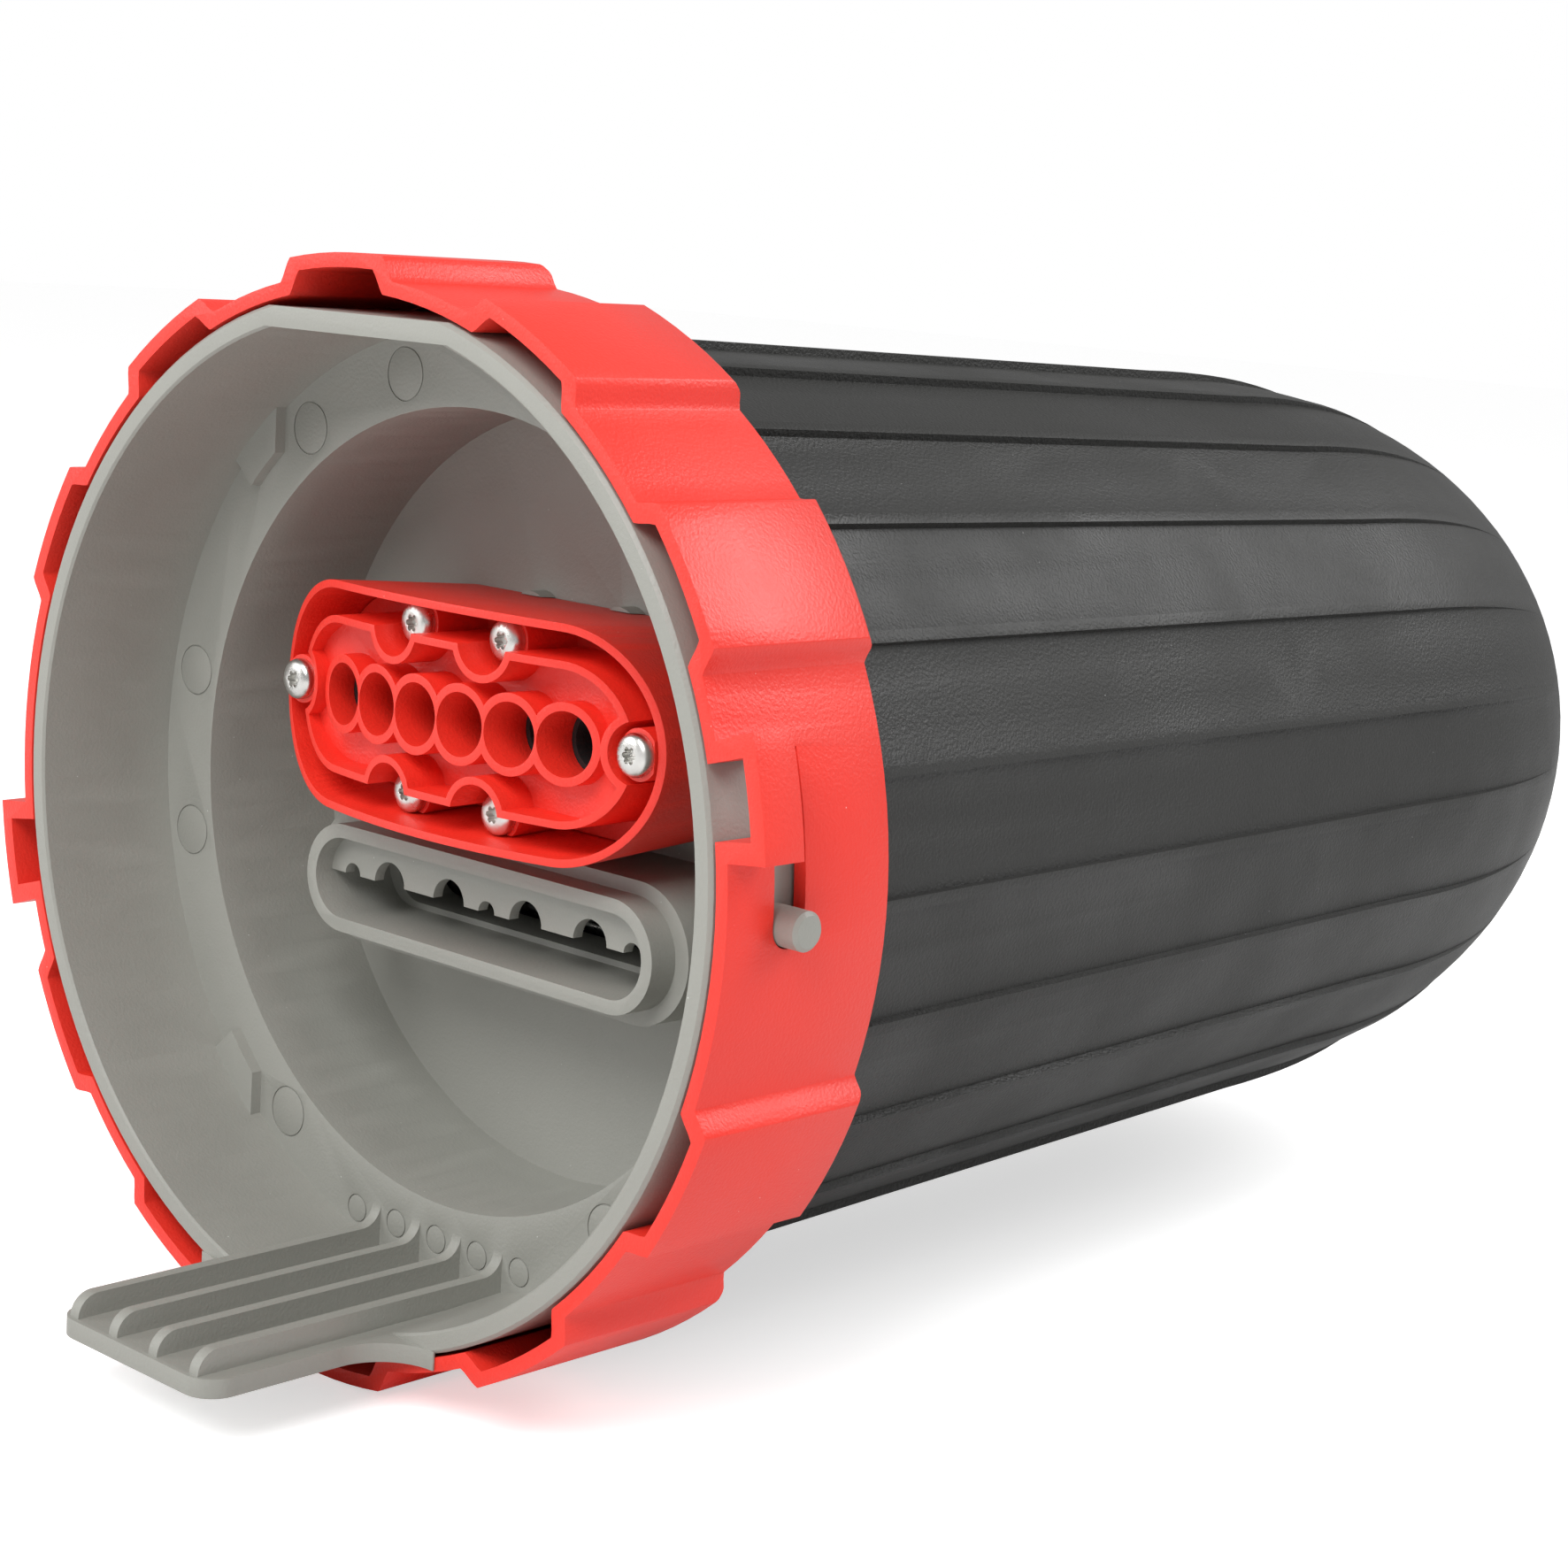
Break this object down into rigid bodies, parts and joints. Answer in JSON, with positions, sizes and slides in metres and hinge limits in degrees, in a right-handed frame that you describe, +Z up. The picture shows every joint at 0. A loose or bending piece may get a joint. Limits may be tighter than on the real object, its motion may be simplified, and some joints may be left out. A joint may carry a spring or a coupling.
{
  "type": "dome splice closure",
  "caption": "Dome-shaped fibre splice closure: grey base with round and oval cable ports, red bayonet locking ring and black ribbed dome over hinged splice trays.",
  "frame": {"origin": "centre of the base's round front rim, in the plane of the rim", "axes": "+Y along the axis towards the dome's end, +Z up through the flat of the rim, +X across"},
  "size_m": [0.2226, 0.414, 0.2152],
  "materials": {
    "grey_plastic": "satin moulded",
    "black_plastic": "satin moulded",
    "red_plastic": "satin moulded",
    "rubber": "moulded",
    "screw_steel": "zinc plated",
    "tray_plastic": "moulded",
    "holder_plastic": "moulded",
    "lid_plastic": "clear smoked"
  },
  "bodies": {
    "base_and_dome": {"base": "grey_plastic", "dome_seal": "rubber", "dome_cover": "black_plastic", "gland_housing": "red_plastic", "port_plate": "red_plastic", "gland_seal": "rubber", "gland_back_plate": "red_plastic", "gland_screw_1": "screw_steel", "gland_screw_2": "screw_steel", "gland_screw_3": "screw_steel", "gland_screw_4": "screw_steel", "gland_screw_5": "screw_steel", "gland_screw_6": "screw_steel", "tray_carrier": "grey_plastic", "carrier_screws": "screw_steel", "hinge_rod_1": "screw_steel", "hinge_rod_2": "screw_steel", "hinge_rod_3": "screw_steel", "splice_tray_1": "tray_plastic", "splice_tray_2": "tray_plastic", "splice_tray_3": "tray_plastic", "splice_holder_1": "holder_plastic", "splice_holder_2": "holder_plastic", "splice_holder_3": "holder_plastic", "tray_lid": "lid_plastic"},
    "ring": {"locking_ring": "red_plastic"}
  },
  "joints": [
    {"name": "ring_turn", "type": "hinge", "parent": "base_and_dome", "child": "ring", "pos_m": [0, 0.0158, 0], "axis": [0, 1, 0], "range_deg": [0, 12.4]}
  ]
}
